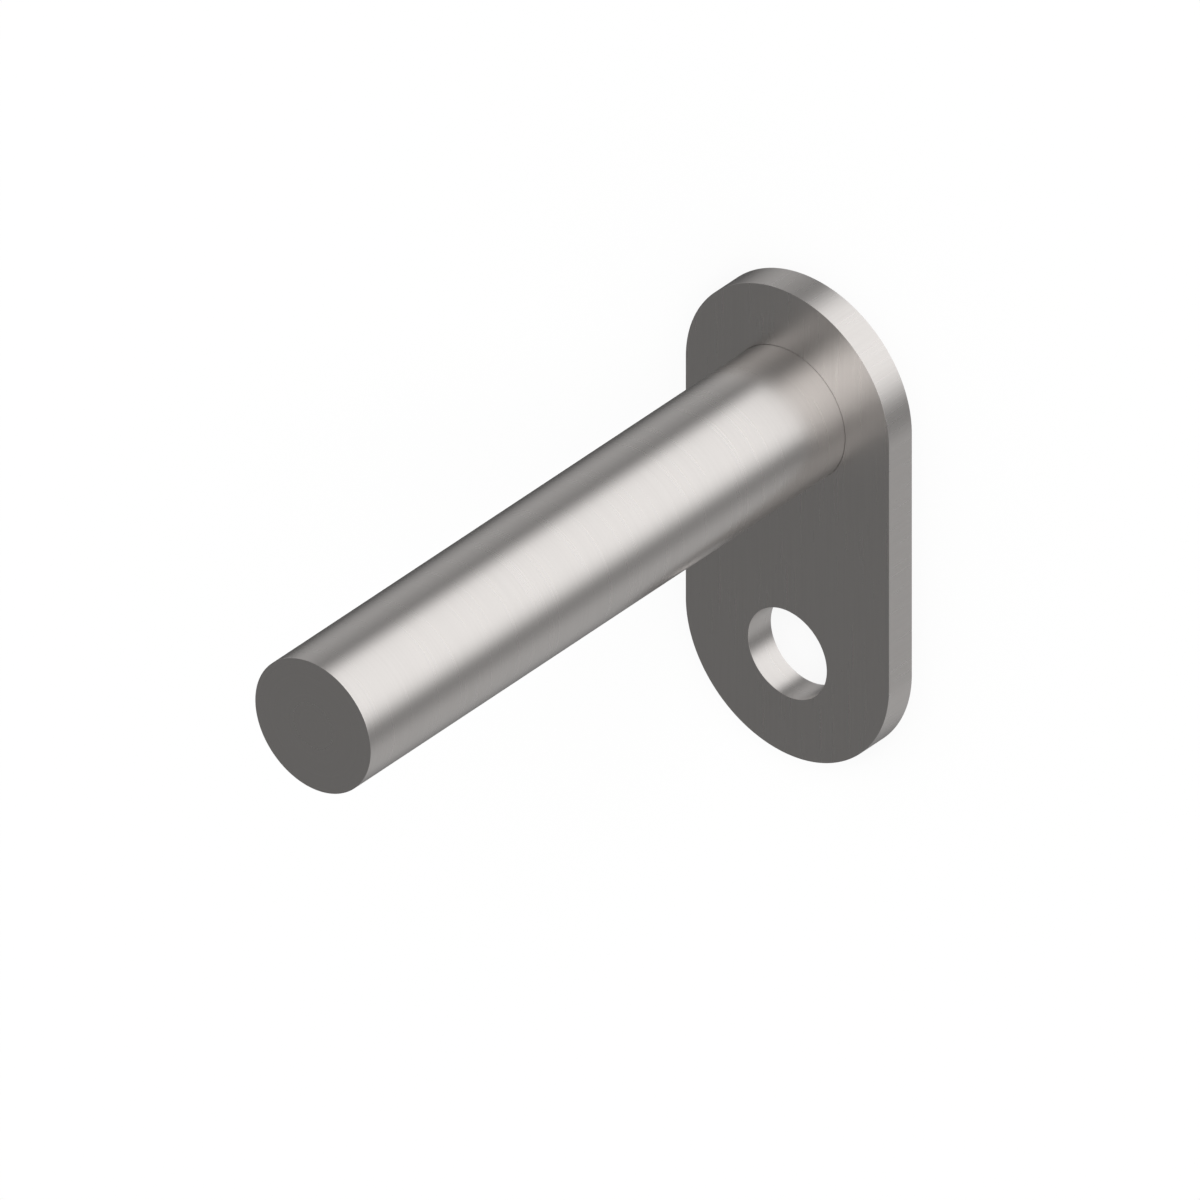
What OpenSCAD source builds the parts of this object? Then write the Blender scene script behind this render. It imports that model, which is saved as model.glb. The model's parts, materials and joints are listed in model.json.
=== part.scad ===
// Pivot pin with a flag plate. A round bar passes through a flat plate with round ends and is
// welded in from the back, so that the plate's front face stays clean and seats against a cheek.
// A keeper bolt through the plate's other end stops the pin turning or sliding out.
// The origin is where the bar's axis crosses the front face. The bar points up, +Z, and the
// keeper hole lies towards +X. All sizes are in millimetres.

/* [Pin] */
// Diameter of the round bar
pin_d = 25; // [16:0.5:34]
// Length of the bar from end to end, with the part inside the plate
pin_len = 130; // [60:1:300]

/* [Flag plate] */
// Thickness of the plate
plate_t = 6; // [4:0.5:15]
// Width of the plate, which is also the diameter of its round ends
plate_w = 44; // [40:1:56]
// From the bar's axis to the plate's near end
pin_margin = 24; // [21:0.5:40]
// From the bar's axis to the keeper hole's axis
hole_pitch = 48; // [32:1:120]
// From the keeper hole's axis to the plate's far end
hole_margin = 20; // [14:0.5:40]
// Diameter of the keeper hole
hole_d = 17; // [6:0.5:22]

/* [Weld and edges] */
// Gap all round between the bar and its hole in the plate
seat_gap = 0.05; // [0.02:0.01:0.3]
// How far the bar is bevelled inwards at the back, from nothing at the front face
bevel_w = 3.5; // [1:0.5:6]
// How far below the front face the weld's root stops
root_depth = 0.6; // [0.2:0.1:2]
// Size of the small bevel that deburring leaves on an outer edge
edge_break = 0.1; // [0.05:0.05:0.5]

/* [Hidden] */
$fn = 96;

pin_r = pin_d / 2;
seat_r = pin_r + seat_gap;
hole_r = hole_d / 2;
end_r = plate_w / 2;

// Heights of the plate's back face, the weld's root and the bar's free end
back_z = -plate_t;
root_z = -root_depth;
tip_z = back_z + pin_len;

// Radius of the bevelled bar at the weld's root and at the back face
root_r = pin_r - bevel_w * root_depth / plate_t;
back_r = pin_r - bevel_w;

// Centres of the plate's two round ends
near_end_x = end_r - pin_margin;
far_end_x = hole_pitch + hole_margin - end_r;

// How far a cutting shape runs past the faces that it cuts
overcut = 1;

// The bar, turned from round stock: a plain journal that ends in a cone for the weld
module pin() {
    color("#d8d5d0")
    rotate_extrude()
    polygon([
        [0, back_z],
        [back_r, back_z],
        [pin_r, 0],
        [pin_r, tip_z - edge_break],
        [pin_r - edge_break, tip_z],
        [0, tip_z]
    ]);
}

// The plate, cut from sheet, with a hole for the bar and the keeper hole
module flag_plate() {
    color("#cbc8c3")
    difference() {
        plate_blank();
        through_hole(seat_r);
        translate([hole_pitch, 0, 0]) {
            through_hole(hole_r);
            countersink_mouth(hole_r);
            translate([0, 0, back_z])
            mirror([0, 0, 1])
            countersink_mouth(hole_r);
        }
    }
}

// The weld: it fills the groove between the bar's cone and the plate, and is dressed flush
module weld_seam() {
    color("#b7b3ad")
    rotate_extrude()
    polygon([
        [back_r, back_z],
        [seat_r, back_z],
        [seat_r, root_z],
        [root_r, root_z]
    ]);
}

// The plate before it is drilled: two round ends and a straight middle, deburred all round
module plate_blank() {
    for (x = [near_end_x, far_end_x])
        translate([x, 0, 0])
        rotate_extrude()
        half_section();
    translate([near_end_x, 0, 0])
    rotate([90, 0, 90])
    linear_extrude(far_end_x - near_end_x) {
        half_section();
        mirror([1, 0])
        half_section();
    }
}

// The plate's cross section from its centre line out to one edge
module half_section() {
    polygon([
        [0, back_z],
        [end_r - edge_break, back_z],
        [end_r, back_z + edge_break],
        [end_r, -edge_break],
        [end_r - edge_break, 0],
        [0, 0]
    ]);
}

// A round hole straight through the plate
module through_hole(r) {
    translate([0, 0, back_z - overcut])
    cylinder(r = r, h = plate_t + 2 * overcut);
}

// The deburring cut at a hole's upper mouth, wider by as much as it stands above the face
module countersink_mouth(r) {
    translate([0, 0, -edge_break])
    cylinder(r1 = r, r2 = r + 2 * edge_break, h = 2 * edge_break);
}

pin();
flag_plate();
weld_seam();
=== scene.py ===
import json
import math
import bpy
from mathutils import Matrix, Vector


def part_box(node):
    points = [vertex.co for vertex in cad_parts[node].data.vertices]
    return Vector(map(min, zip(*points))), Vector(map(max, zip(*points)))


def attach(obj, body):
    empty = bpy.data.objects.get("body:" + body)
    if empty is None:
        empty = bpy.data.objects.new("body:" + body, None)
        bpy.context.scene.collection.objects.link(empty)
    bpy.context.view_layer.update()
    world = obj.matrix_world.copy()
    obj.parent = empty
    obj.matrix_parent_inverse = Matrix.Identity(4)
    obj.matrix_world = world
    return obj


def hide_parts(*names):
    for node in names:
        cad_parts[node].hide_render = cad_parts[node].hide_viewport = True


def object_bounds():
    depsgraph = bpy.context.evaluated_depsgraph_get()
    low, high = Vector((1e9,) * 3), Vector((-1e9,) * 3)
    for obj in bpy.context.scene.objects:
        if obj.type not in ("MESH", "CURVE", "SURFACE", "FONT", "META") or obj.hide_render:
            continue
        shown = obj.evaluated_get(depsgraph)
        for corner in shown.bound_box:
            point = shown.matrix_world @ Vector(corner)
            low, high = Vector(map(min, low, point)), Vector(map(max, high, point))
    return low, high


# Pivot pin: a turned stainless steel bar, welded from behind into a keeper plate.
# It stands on the plate's back, with the bar pointing up, +Z, and the keeper hole towards +X.
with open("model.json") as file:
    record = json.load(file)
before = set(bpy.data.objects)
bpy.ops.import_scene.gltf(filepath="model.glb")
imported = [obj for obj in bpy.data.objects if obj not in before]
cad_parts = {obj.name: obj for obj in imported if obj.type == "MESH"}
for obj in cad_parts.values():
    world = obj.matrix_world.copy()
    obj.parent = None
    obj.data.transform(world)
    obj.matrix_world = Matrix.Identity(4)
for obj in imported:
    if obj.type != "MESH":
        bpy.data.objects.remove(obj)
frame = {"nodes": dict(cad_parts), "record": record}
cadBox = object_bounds()
mm = 0.001

barLow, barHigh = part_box("pin")
plateLow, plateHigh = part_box("flag_plate")
weldLow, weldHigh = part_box("weld_seam")
mounts = {mount["name"]: mount for mount in frame["record"]["mounts"]}
print("frame loaded:", ", ".join(sorted(frame["nodes"])))


# Adds one node. Settings are its own choices, and an input is a value, a node or a node's output
def addNode(tree, kind, inputs=None, **settings):
    node = tree.nodes.new(kind)
    for setting, choice in settings.items():
        setattr(node, setting, choice)
    for socket, value in (inputs or {}).items():
        if isinstance(value, bpy.types.Node):
            value = value.outputs[0]
        if isinstance(value, bpy.types.NodeSocket):
            tree.links.new(value, node.inputs[socket])
        else:
            node.inputs[socket].default_value = value
    return node


# Colours are written as sRGB hex, and Blender's sockets take linear values
def linearColor(hexColor):
    shares = [int(hexColor[start:start + 2], 16) / 255 for start in (1, 3, 5)]
    return [s / 12.92 if s <= 0.04045 else ((s + 0.055) / 1.055) ** 2.4 for s in shares] + [1]


# Where a Mix node that works on colours keeps its two inputs, and its result among its outputs
firstColor, secondColor, mixedColor = 6, 7, 2

# Finishes. All is stainless steel, satin to the eye, and each surface keeps the fine marks of how
# it was made, which show close up as a faint grain. Real marks lie 0.05 to 0.2 mm apart, which is
# too fine for the render, so they are drawn wider.
steel = {
    "paleColor": "#EAE6E3",       # the slightly warm grey of bare stainless steel
    "deepColor": "#E2DEDB",       # the same, a little darker: painted shade in the bottom of a mark
    "polishedRoughness": 0.26,
    "markedRoughness": 0.30,
    "markWidth": 0.5,             # millimetres from one mark to the next
    "markDetail": 2.0,            # layers of finer marks within the wide ones
}


# Steel whose marks have the given size along X, Y and Z, and the given depth, all in millimetres.
# Marks that run round the Z axis follow the distance from it instead.
def steelFinish(name, markSize, depth, roundAxis=False, deepColor=steel["deepColor"], coarser=0.0):
    material = bpy.data.materials.new(name)
    material.use_nodes = True
    tree = material.node_tree
    tree.nodes.clear()
    place = addNode(tree, "ShaderNodeTexCoord").outputs["Object"]
    if roundAxis:
        level = addNode(tree, "ShaderNodeVectorMath", {0: place, 1: (1, 1, 0)}, operation="MULTIPLY")
        away = addNode(tree, "ShaderNodeVectorMath", {0: level}, operation="LENGTH")
        place = addNode(tree, "ShaderNodeCombineXYZ", {"X": away.outputs["Value"]})
    marksPerMetre = [1 / (size * mm) for size in markSize]
    stretched = addNode(tree, "ShaderNodeMapping", {"Vector": place, "Scale": marksPerMetre})
    marks = addNode(tree, "ShaderNodeTexNoise", {
        "Vector": stretched, "Scale": 1.0, "Detail": steel["markDetail"],
    })
    height = marks.outputs["Fac"]
    # The bottoms of the marks take the deep colour: on the plain steel a painted shade in the grooves,
    # and on the weld the straw tint that heat leaves
    color = addNode(tree, "ShaderNodeMix", {
        "Factor": height,
        firstColor: linearColor(deepColor),
        secondColor: linearColor(steel["paleColor"]),
    }, data_type="RGBA")
    roughness = addNode(tree, "ShaderNodeMapRange", {
        "Value": height,
        "To Min": steel["markedRoughness"] + coarser,
        "To Max": steel["polishedRoughness"] + coarser,
    })
    relief = addNode(tree, "ShaderNodeBump", {"Height": height, "Distance": depth * mm})
    shader = addNode(tree, "ShaderNodeBsdfPrincipled", {
        "Base Color": color.outputs[mixedColor],
        "Metallic": 1.0,
        "Roughness": roughness,
        "Normal": relief,
    })
    addNode(tree, "ShaderNodeOutputMaterial", {"Surface": shader})
    return material


narrow = steel["markWidth"]
# Fine-turned bar: rings left by the lathe's feed, one above another, so its shine runs lengthwise
turnedJournal = steelFinish("turnedJournal", markSize=(40, 40, narrow), depth=0.002)
# Faced end: the same tool's rings, now one inside another round the middle
facedEnd = steelFinish("facedEnd", markSize=(narrow, 40, 40), depth=0.001, roundAxis=True)
# Brushed plate: straight grain along the plate, which gives its flat sides an even, quiet grey
brushedFace = steelFinish("brushedFace", markSize=(25, narrow, 25), depth=0.001)
# Laser-cut rim: fine upright lines across the plate's thickness
cutRim = steelFinish("cutRim", markSize=(narrow, narrow, 12), depth=0.002)
# Reamed hole: rings round the wall of the keeper hole and of the bar's seat
reamedHole = steelFinish("reamedHole", markSize=(12, 12, narrow), depth=0.002)
# Weld ground flush: short coarse scratches, and a trace of the straw tint that heat leaves
groundWeld = steelFinish("groundWeld", markSize=(2.5, narrow, 2.5), depth=0.004,
                         deepColor="#DACFBD", coarser=0.06)
print("six steel finishes made")


# Starts a tree of geometry nodes and returns it with the sockets that bring in its named sizes
def startTree(name, lengths, counts):
    tree = bpy.data.node_groups.new(name, "GeometryNodeTree")
    for label in lengths:
        tree.interface.new_socket(name=label, in_out="INPUT", socket_type="NodeSocketFloat")
    for label in counts:
        tree.interface.new_socket(name=label, in_out="INPUT", socket_type="NodeSocketInt")
    tree.interface.new_socket(name="Geometry", in_out="OUTPUT", socket_type="NodeSocketGeometry")
    return tree, addNode(tree, "NodeGroupInput").outputs


# Draws a section from its corners: how far out each lies, how high, and how much it is rounded
def drawSection(tree, corners, steps, closed=False):
    index = addNode(tree, "GeometryNodeInputIndex")
    places = addNode(tree, "GeometryNodeIndexSwitch", {"Index": index}, data_type="VECTOR")
    roundings = addNode(tree, "GeometryNodeIndexSwitch", {"Index": index}, data_type="FLOAT")
    for switch in (places, roundings):
        while len(switch.index_switch_items) < len(corners):
            switch.index_switch_items.new()
    for number, (out, height, rounding) in enumerate(corners, start=1):
        place = addNode(tree, "ShaderNodeCombineXYZ", {"X": out, "Y": height})
        tree.links.new(place.outputs[0], places.inputs[number])
        if rounding is not None:
            tree.links.new(rounding, roundings.inputs[number])
    line = addNode(tree, "GeometryNodeMeshLine", {"Count": len(corners)})
    moved = addNode(tree, "GeometryNodeSetPosition", {"Geometry": line, "Position": places})
    curve = addNode(tree, "GeometryNodeMeshToCurve", {"Mesh": moved})
    ring = addNode(tree, "GeometryNodeSetSplineCyclic", {"Geometry": curve, "Cyclic": closed})
    return addNode(tree, "GeometryNodeFilletCurve", {
        "Curve": ring, "Radius": roundings, "Count": steps, "Limit Radius": True,
    }, mode="POLY")


# Sweeps a section along a path, whose distance from the section's own axis is given
def sweepSection(tree, path, section, pathRadius=0.0):
    upright = addNode(tree, "GeometryNodeTransform", {
        "Geometry": section, "Translation": (-pathRadius, 0, 0), "Scale": (1, -1, 1),
    })
    return addNode(tree, "GeometryNodeCurveToMesh", {"Curve": path, "Profile Curve": upright})


# Turns a section round the Z axis, as on a lathe
def turnSection(tree, section, sides):
    turningRadius = 1 * mm  # any radius does, because the section is moved in by as much
    path = addNode(tree, "GeometryNodeCurvePrimitiveCircle", {
        "Resolution": sides, "Radius": turningRadius,
    })
    return sweepSection(tree, path, section, turningRadius)


# True on the faces that lie level, such as the bar's end and both sides of the plate
def levelFaces(tree):
    levelShare = 0.999  # how much of a level face's normal points straight up or down
    normal = addNode(tree, "GeometryNodeInputNormal")
    height = addNode(tree, "ShaderNodeSeparateXYZ", {"Vector": normal}).outputs["Z"]
    steep = addNode(tree, "ShaderNodeMath", {0: height}, operation="ABSOLUTE")
    return addNode(tree, "ShaderNodeMath", {0: steep, 1: levelShare}, operation="GREATER_THAN")


# Closes the mesh, keeps its edges crisp and gives it its finishes: the last named lies on top
def endTree(tree, mesh, finishes):
    mergeDistance = 0.005 * mm
    crispAngle = math.radians(4)
    merged = addNode(tree, "GeometryNodeMergeByDistance", {
        "Geometry": mesh, "Distance": mergeDistance,
    })
    smooth = addNode(tree, "GeometryNodeSetShadeSmooth", {"Geometry": merged, "Shade Smooth": True})
    angle = addNode(tree, "GeometryNodeInputMeshEdgeAngle").outputs["Unsigned Angle"]
    crisp = addNode(tree, "ShaderNodeMath", {0: angle, 1: crispAngle}, operation="GREATER_THAN")
    edged = addNode(tree, "GeometryNodeSetShadeSmooth", {
        "Geometry": smooth, "Selection": crisp, "Shade Smooth": False,
    }, domain="EDGE")
    result = addNode(tree, "GeometryNodeRealizeInstances", {"Geometry": edged})
    for material, where in finishes:
        result = addNode(tree, "GeometryNodeSetMaterial", {
            "Geometry": result, "Selection": where, "Material": material,
        })
    addNode(tree, "NodeGroupOutput", {0: result})


# Runs a tree with the sizes given and leaves its result as a plain mesh that rides on the body
def makePiece(name, tree, sizes, node):
    blank = bpy.data.meshes.new("blank")
    piece = bpy.data.objects.new(name, blank)
    bpy.context.scene.collection.objects.link(piece)
    modifier = piece.modifiers.new("shape", "NODES")
    modifier.node_group = tree
    for item in tree.interface.items_tree:
        if item.in_out == "INPUT":
            modifier[item.identifier] = sizes[item.name]
    depsgraph = bpy.context.evaluated_depsgraph_get()
    shape = bpy.data.meshes.new_from_object(piece.evaluated_get(depsgraph))
    piece.modifiers.remove(modifier)
    piece.data = shape
    shape.name = name
    bpy.data.meshes.remove(blank)
    for index in reversed(range(len(shape.materials))):
        if not shape.materials[index]:
            shape.materials.pop(index=index)  # an empty slot that joining leaves and no face uses
    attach(piece, "root")
    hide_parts(node)
    print(f"{name}: {len(shape.polygons)} faces")


# The bar: a plain journal with a hard, lightly broken edge at its tip, and a cone for the weld
bar = {
    "Radius": barHigh.x,
    "Tip Height": barHigh.z,
    "Seat Height": plateHigh.z,
    "Back Height": barLow.z,
    "Bevel Width": 3.5 * mm,          # how far the cone runs in, from the seat to the back
    "Edge Round": 0.05 * mm,
    "Edge Steps": 3,
    "Sides": 384,
}
barTree, size = startTree("turnedBar", ("Radius", "Tip Height", "Seat Height", "Back Height",
                                        "Bevel Width", "Edge Round"), ("Edge Steps", "Sides"))
backRadius = addNode(barTree, "ShaderNodeMath", {0: size["Radius"], 1: size["Bevel Width"]},
                     operation="SUBTRACT").outputs[0]
barSection = drawSection(barTree, [
    (0, size["Tip Height"], None),
    (size["Radius"], size["Tip Height"], size["Edge Round"]),
    (size["Radius"], size["Seat Height"], None),
    (backRadius, size["Back Height"], None),
    (0, size["Back Height"], None),
], size["Edge Steps"])
barMesh = turnSection(barTree, barSection, size["Sides"])
endTree(barTree, barMesh, [(turnedJournal, True), (facedEnd, levelFaces(barTree))])
makePiece("turnedBar", barTree, bar, "pin")

# The weld: a ring that fills the groove between the bar's cone and the plate, ground flush
weld = {
    "Outer Radius": weldHigh.x,
    "Root Height": weldHigh.z,
    "Back Height": weldLow.z,
    "Bar Radius": bar["Radius"],
    "Bevel Width": bar["Bevel Width"],
    "Seat Height": bar["Seat Height"],
    "Sides": bar["Sides"],
}
weldTree, size = startTree("weldRing", ("Outer Radius", "Root Height", "Back Height", "Bar Radius",
                                        "Bevel Width", "Seat Height"), ("Sides",))
backRadius = addNode(weldTree, "ShaderNodeMath", {0: size["Bar Radius"], 1: size["Bevel Width"]},
                     operation="SUBTRACT").outputs[0]
rootRadius = addNode(weldTree, "ShaderNodeMapRange", {
    "Value": size["Root Height"], "From Min": size["Back Height"], "From Max": size["Seat Height"],
    "To Min": backRadius, "To Max": size["Bar Radius"],
}).outputs[0]
weldSection = drawSection(weldTree, [
    (rootRadius, size["Root Height"], None),
    (size["Outer Radius"], size["Root Height"], None),
    (size["Outer Radius"], size["Back Height"], None),
    (backRadius, size["Back Height"], None),
], steps=1, closed=True)
endTree(weldTree, turnSection(weldTree, weldSection, size["Sides"]), [(groundWeld, True)])
makePiece("weldRing", weldTree, weld, "weld_seam")

# The keeper plate: round ends, straight sides, a hole for the bar and one for the keeper bolt
keeperHole = mounts["keeper_hole"]
plate = {
    "Length": plateHigh.x - plateLow.x,
    "Width": plateHigh.y - plateLow.y,
    "Middle": (plateHigh.x + plateLow.x) / 2,
    "Front Height": plateHigh.z,
    "Back Height": plateLow.z,
    "Seat Radius": weldHigh.x,
    "Hole Place": keeperHole["pos_m"][0],
    "Hole Radius": keeperHole["dims"]["r_mm"] * mm,
    "Edge Round": 0.05 * mm,
    "Seat Edge Round": 0.01 * mm,     # the bar's hole keeps a sharp edge, so its joint is a hairline
    "Edge Steps": 3,
    "End Steps": 96,
    "Hole Sides": 256,
}


# A path round the plate or one of its holes, along the inner border of the rounded edge
def roundHole(tree, place, radius, border, sides):
    wide = addNode(tree, "ShaderNodeMath", {0: radius, 1: border}, operation="ADD")
    circle = addNode(tree, "GeometryNodeCurvePrimitiveCircle", {"Resolution": sides, "Radius": wide})
    where = addNode(tree, "ShaderNodeCombineXYZ", {"X": place})
    return addNode(tree, "GeometryNodeTransform", {"Geometry": circle, "Translation": where})


def plateOutline(tree, size, border):
    double = addNode(tree, "ShaderNodeMath", {0: border, 1: 2.0}, operation="MULTIPLY")
    length = addNode(tree, "ShaderNodeMath", {0: size["Length"], 1: double}, operation="SUBTRACT")
    width = addNode(tree, "ShaderNodeMath", {0: size["Width"], 1: double}, operation="SUBTRACT")
    sheet = addNode(tree, "GeometryNodeCurvePrimitiveQuadrilateral", {
        "Width": length, "Height": width,
    }, mode="RECTANGLE")
    endShare = 0.49999  # just under half the width, so that an end's two arcs don't quite meet
    endRadius = addNode(tree, "ShaderNodeMath", {0: width, 1: endShare}, operation="MULTIPLY")
    rounded = addNode(tree, "GeometryNodeFilletCurve", {
        "Curve": sheet, "Radius": endRadius, "Count": size["End Steps"], "Limit Radius": True,
    }, mode="POLY")
    where = addNode(tree, "ShaderNodeCombineXYZ", {"X": size["Middle"]})
    return addNode(tree, "GeometryNodeTransform", {"Geometry": rounded, "Translation": where})


def joinAll(tree, parts):
    join = addNode(tree, "GeometryNodeJoinGeometry")
    for part in parts:
        tree.links.new(part.outputs[0], join.inputs[0])
    return join


# True within this distance of an upright axis
def nearAxis(tree, place, distance):
    where = addNode(tree, "ShaderNodeSeparateXYZ", {"Vector": addNode(tree, "GeometryNodeInputPosition")})
    flat = addNode(tree, "ShaderNodeCombineXYZ", {"X": where.outputs["X"], "Y": where.outputs["Y"]})
    axis = addNode(tree, "ShaderNodeCombineXYZ", {"X": place})
    away = addNode(tree, "ShaderNodeVectorMath", {0: flat, 1: axis}, operation="DISTANCE")
    return addNode(tree, "ShaderNodeMath", {0: away.outputs["Value"], 1: distance}, operation="LESS_THAN")


plateTree, size = startTree("keeperPlate", (
    "Length", "Width", "Middle", "Front Height", "Back Height", "Seat Radius", "Hole Place",
    "Hole Radius", "Edge Round", "Seat Edge Round"), ("Edge Steps", "End Steps", "Hole Sides"))
edgeRound, front, back = size["Edge Round"], size["Front Height"], size["Back Height"]
rimSection = drawSection(plateTree, [
    (0, front, None),
    (edgeRound, front, edgeRound),
    (edgeRound, back, edgeRound),
    (0, back, None),
], size["Edge Steps"])
outline = plateOutline(plateTree, size, edgeRound)
bands = [sweepSection(plateTree, outline, rimSection)]
holes = []
walls = []
wallReach = 0.5 * mm  # how far from a hole's wall a face may lie and still get the hole's finish
for place, radius, rounding in ((0.0, size["Seat Radius"], size["Seat Edge Round"]),
                                (size["Hole Place"], size["Hole Radius"], edgeRound)):
    inward = addNode(plateTree, "ShaderNodeMath", {0: rounding, 1: -1.0}, operation="MULTIPLY").outputs[0]
    section = drawSection(plateTree, [
        (0, back, None),
        (inward, back, rounding),
        (inward, front, rounding),
        (0, front, None),
    ], size["Edge Steps"])
    hole = roundHole(plateTree, place, radius, rounding, size["Hole Sides"])
    holes.append(hole)
    bands.append(sweepSection(plateTree, hole, section))
    reach = addNode(plateTree, "ShaderNodeMath", {0: radius, 1: wallReach}, operation="ADD")
    walls.append((reamedHole, nearAxis(plateTree, place, reach)))
sheet = addNode(plateTree, "GeometryNodeFillCurve", {"Curve": joinAll(plateTree, [outline, *holes])},
                mode="TRIANGLES")
frontShift = addNode(plateTree, "ShaderNodeCombineXYZ", {"Z": front})
frontFace = addNode(plateTree, "GeometryNodeTransform", {"Geometry": sheet, "Translation": frontShift})
backShift = addNode(plateTree, "ShaderNodeCombineXYZ", {"Z": back})
backSheet = addNode(plateTree, "GeometryNodeTransform", {"Geometry": sheet, "Translation": backShift})
backFace = addNode(plateTree, "GeometryNodeFlipFaces", {"Mesh": backSheet})
endTree(plateTree, joinAll(plateTree, [frontFace, backFace, *bands]), [
    (cutRim, True), *walls, (brushedFace, levelFaces(plateTree)),
])
makePiece("keeperPlate", plateTree, plate, "flag_plate")

# Camera: a parallel view, as in the photograph
photo = {
    "turn": 50.383,               # degrees that the view is turned round the X axis
    "tilt": 33.156,               # degrees that it looks along the X axis
    "pixels": 1200,               # width and height of the picture
    "pixelsPerMm": 6.0,
    "origin": (787.35, 412.53),   # where the frame's origin appears, in pixels from the top left
    "distance": 0.6,              # metres from the frame's origin, well clear of the object
}
turn, tilt = math.radians(photo["turn"]), math.radians(photo["tilt"])
# The picture's three directions in the frame
rightward = Vector((0, math.sin(turn), -math.cos(turn)))
upward = Vector((-math.cos(tilt), -math.cos(turn) * math.sin(tilt), -math.sin(turn) * math.sin(tilt)))
towardCamera = rightward.cross(upward)
originRight = (photo["origin"][0] - photo["pixels"] / 2) / photo["pixelsPerMm"] * mm
originUp = (photo["pixels"] / 2 - photo["origin"][1]) / photo["pixelsPerMm"] * mm
cameraPlace = towardCamera * photo["distance"] - rightward * originRight - upward * originUp
camera = bpy.data.objects.new("camera", bpy.data.cameras.new("camera"))
camera.data.type = "ORTHO"
camera.data.ortho_scale = photo["pixels"] / photo["pixelsPerMm"] * mm
camera.matrix_world = (Matrix.Translation(cameraPlace)
                       @ Matrix((rightward, upward, towardCamera)).transposed().to_4x4())
bpy.context.scene.collection.objects.link(camera)
bpy.context.scene.camera = camera


# 1 for what the eye sees, straight or mirrored or through glass, and 0 for light on a surface
def seenRays(tree, ray):
    seen = addNode(tree, "ShaderNodeMath", {0: ray["Is Camera Ray"], 1: ray["Is Glossy Ray"]},
                   operation="ADD")
    return addNode(tree, "ShaderNodeMath", {0: seen, 1: ray["Is Transmission Ray"]}, operation="ADD",
                   use_clamp=True)


# Floor: plain and white, just under the plate's back. It keeps a faint shadow of the object, and
# the steel doesn't mirror it, because the studio goes on all round below it too
floor = {
    "halfSize": 3.0,              # metres, far past the picture's edges
    "drop": 0.02 * mm,
    "color": "#E7E7E7",
    "shadowShare": 0.15,          # how much of what the camera sees is the floor's own shading
}
floorHeight = cadBox[0].z - floor["drop"]
half = floor["halfSize"]
floorMesh = bpy.data.meshes.new("floor")
floorMesh.from_pydata([(x, y, floorHeight) for x, y in
                       ((-half, -half), (half, -half), (half, half), (-half, half))], [], [(0, 1, 2, 3)])
floorPlane = bpy.data.objects.new("floor", floorMesh)
bpy.context.scene.collection.objects.link(floorPlane)
floorPlane.visible_glossy = False
paint = bpy.data.materials.new("floorPaint")
paint.use_nodes = True
tree = paint.node_tree
tree.nodes.clear()
seen = seenRays(tree, addNode(tree, "ShaderNodeLightPath").outputs)
share = addNode(tree, "ShaderNodeMath", {0: seen, 1: 1 - floor["shadowShare"]}, operation="MULTIPLY")
matt = addNode(tree, "ShaderNodeBsdfDiffuse", {"Color": linearColor(floor["color"])})
white = addNode(tree, "ShaderNodeEmission", {"Color": (1, 1, 1, 1), "Strength": 1.0})
mixed = addNode(tree, "ShaderNodeMixShader", {0: share, 1: matt, 2: white})
addNode(tree, "ShaderNodeOutputMaterial", {"Surface": mixed})
floorMesh.materials.append(paint)

# Lamp: one broad soft light from the camera's side, which only the floor needs
softLight = {
    "energy": 1.4,                # enough to leave the open floor white
    "angle": 40,                  # degrees across, which makes its shadow soft
}
lampLight = bpy.data.lights.new("softLight", "SUN")
lampLight.energy = softLight["energy"]
lampLight.angle = math.radians(softLight["angle"])
lamp = bpy.data.objects.new("softLight", lampLight)
lamp.visible_glossy = False
lamp.matrix_world = camera.matrix_world.copy()
bpy.context.scene.collection.objects.link(lamp)

# Studio: a white backdrop all round, with grey cards that the steel mirrors as its darker bands
studio = {
    "roomLevel": 1.0,             # how bright the room is to the floor, where 1 is white
    "brightAzimuth": 135.7,       # degrees round the Z axis to the middle of the bright side
    "lowCards": (                 # share of white, by degrees from there, below the horizon
        (-180, 0.09), (-150, 0.27), (-130, 0.42), (-95, 0.43), (-70, 0.21), (-58, 0.22),
        (-36, 0.87), (-24, 1.03), (48, 1.01), (72, 0.12), (84, 0.27), (110, 0.38),
        (150, 0.07), (180, 0.09),
    ),
    "highCards": (                # and above it
        (-180, 0.16), (-150, 0.13), (-110, 0.39), (-70, 0.23), (-36, 0.79), (0, 1.01),
        (24, 0.95), (60, 0.10), (84, 0.25), (110, 0.47), (150, 0.06), (180, 0.16),
    ),
    # Heights are 0 at the horizon and 1 straight up or straight down
    "blendHeight": 0.3,           # how far below and above the horizon the two rings of cards blend
    "evenHeight": 0.2,            # how far from the horizon a card starts to change with height
    "partHeight": 0.65,           # where its part near the horizon and its steep part meet
    "partBlend": 0.2,             # how far each way these two parts blend
    "steepGain": 0.4,             # how much brighter the steep part is, and the other part dimmer
    "sideGain": -0.9,             # the same for the low cards on one side, which are the other way
    "sideCards": ((54, 0.0), (72, 1.0), (128, 1.0), (146, 0.0)),  # where that side is: 1 there
}
world = bpy.data.worlds.new("studio")
world.use_nodes = True
world.cycles.sampling_method = "NONE"   # a sampled world would lose track of the kind of ray
bpy.context.scene.world = world
sky = world.node_tree
sky.nodes.clear()
ray = addNode(sky, "ShaderNodeLightPath").outputs
direction = addNode(sky, "ShaderNodeTexCoord").outputs["Generated"]
faced = addNode(sky, "ShaderNodeMapping", {
    "Vector": direction, "Rotation": (0, 0, -math.radians(studio["brightAzimuth"])),
})
around = addNode(sky, "ShaderNodeTexGradient", {"Vector": faced}, gradient_type="RADIAL").outputs["Fac"]


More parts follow.
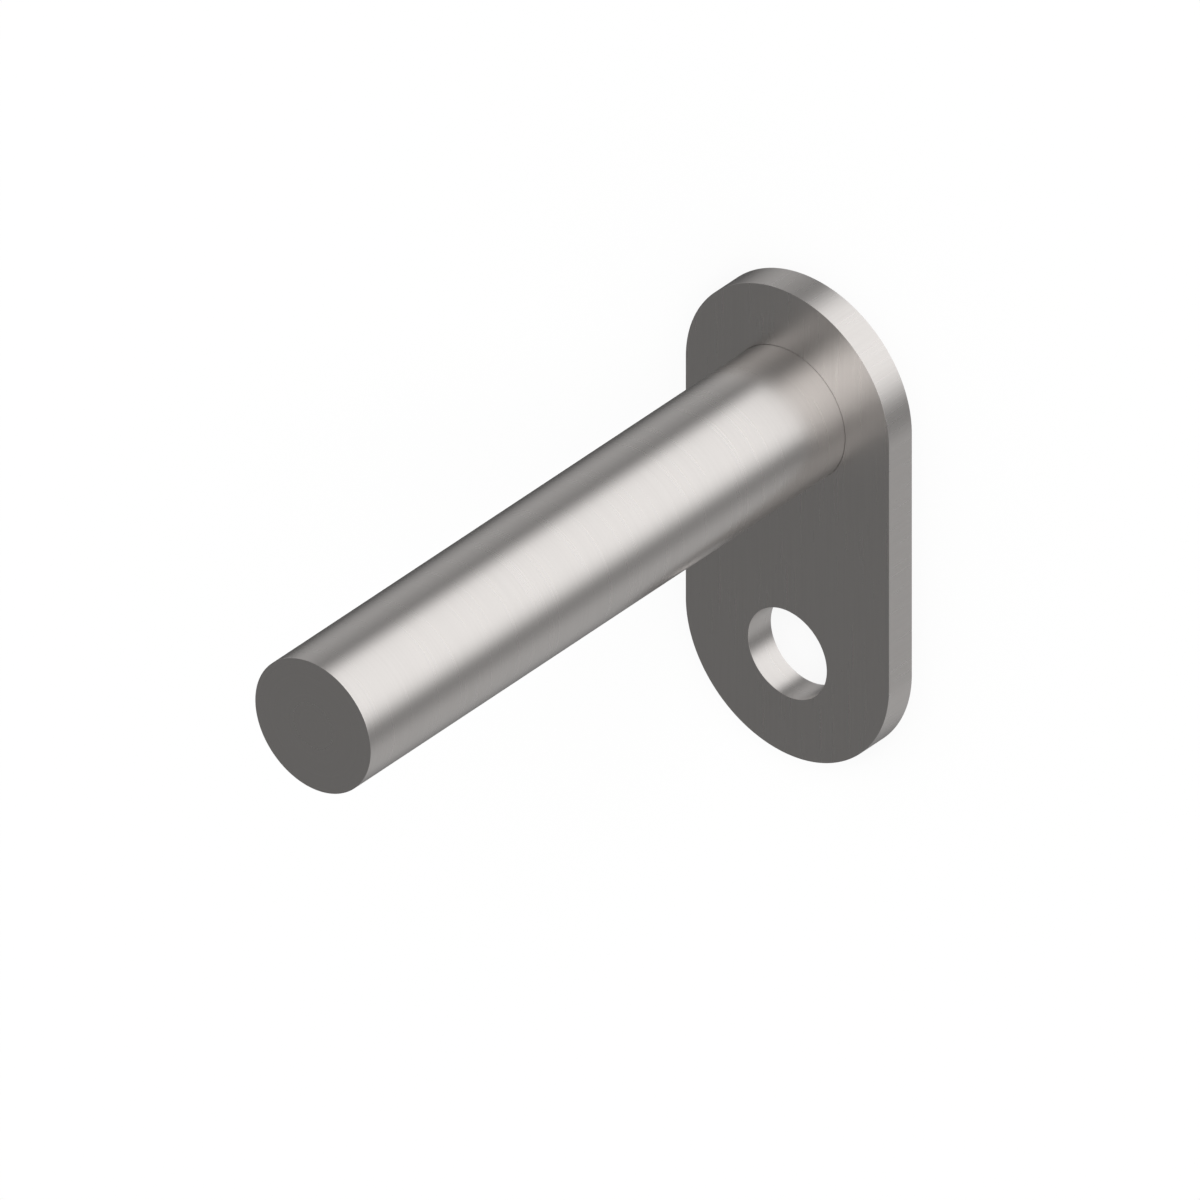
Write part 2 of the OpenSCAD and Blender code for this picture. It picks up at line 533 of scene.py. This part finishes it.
# A ring of cards, from the place of each in degrees from the bright side's middle, and its level
def cardRing(tree, turned, cards):
    ring = addNode(tree, "ShaderNodeValToRGB", {"Fac": turned})
    stops = ring.color_ramp.elements
    stops.remove(stops[1])
    for number, (degrees, level) in enumerate(cards):
        turnShare = 0.5 + degrees / 360  # the ramp runs once round, with the bright side half way
        stop = stops.new(turnShare) if number else stops[0]
        stop.position = turnShare
        stop.color = (level, level, level, 1)
    return ring


lowRing = cardRing(sky, around, studio["lowCards"])
highRing = cardRing(sky, around, studio["highCards"])
sideShare = cardRing(sky, around, studio["sideCards"])
height = addNode(sky, "ShaderNodeSeparateXYZ", {"Vector": direction}).outputs["Z"]
steepness = addNode(sky, "ShaderNodeMath", {0: height}, operation="ABSOLUTE")
# -1 in the part of the cards near the horizon, and 1 in their steep part
whichPart = addNode(sky, "ShaderNodeMapRange", {
    "Value": steepness,
    "From Min": studio["partHeight"] - studio["partBlend"],
    "From Max": studio["partHeight"] + studio["partBlend"],
    "To Min": -1.0,
    "To Max": 1.0,
}, interpolation_type="SMOOTHSTEP")
# 0 round the horizon, where the cards don't change with height
fadeIn = addNode(sky, "ShaderNodeMapRange", {
    "Value": steepness,
    "From Min": studio["evenHeight"],
    "From Max": studio["partHeight"] - studio["partBlend"],
}, interpolation_type="SMOOTHSTEP")
change = addNode(sky, "ShaderNodeMath", {0: whichPart, 1: fadeIn}, operation="MULTIPLY")
lowGain = addNode(sky, "ShaderNodeMapRange", {
    "Value": sideShare, "To Min": studio["steepGain"], "To Max": studio["sideGain"],
})
rings = []
for ring, gain in ((lowRing, lowGain), (highRing, studio["steepGain"])):
    light = addNode(sky, "ShaderNodeMath", {0: change, 1: gain, 2: 1.0}, operation="MULTIPLY_ADD")
    rings.append(addNode(sky, "ShaderNodeVectorMath", {0: ring, "Scale": light}, operation="SCALE"))
above = addNode(sky, "ShaderNodeMapRange", {
    "Value": height, "From Min": -studio["blendHeight"], "From Max": studio["blendHeight"],
}, interpolation_type="SMOOTHSTEP")
mirrored = addNode(sky, "ShaderNodeMix", {
    "Factor": above, firstColor: rings[0], secondColor: rings[1],
}, data_type="RGBA").outputs[mixedColor]
backdrop = addNode(sky, "ShaderNodeMix", {
    "Factor": ray["Is Glossy Ray"], firstColor: (1, 1, 1, 1), secondColor: mirrored,
}, data_type="RGBA").outputs[mixedColor]
roomColor = (studio["roomLevel"],) * 3 + (1,)
shown = addNode(sky, "ShaderNodeMix", {
    "Factor": seenRays(sky, ray), firstColor: roomColor, secondColor: backdrop,
}, data_type="RGBA").outputs[mixedColor]
addNode(sky, "ShaderNodeOutputWorld", {
    "Surface": addNode(sky, "ShaderNodeBackground", {"Color": shown}),
})
print("camera, floor, lamp and studio set")

bpy.context.scene.view_settings.view_transform = "Standard"
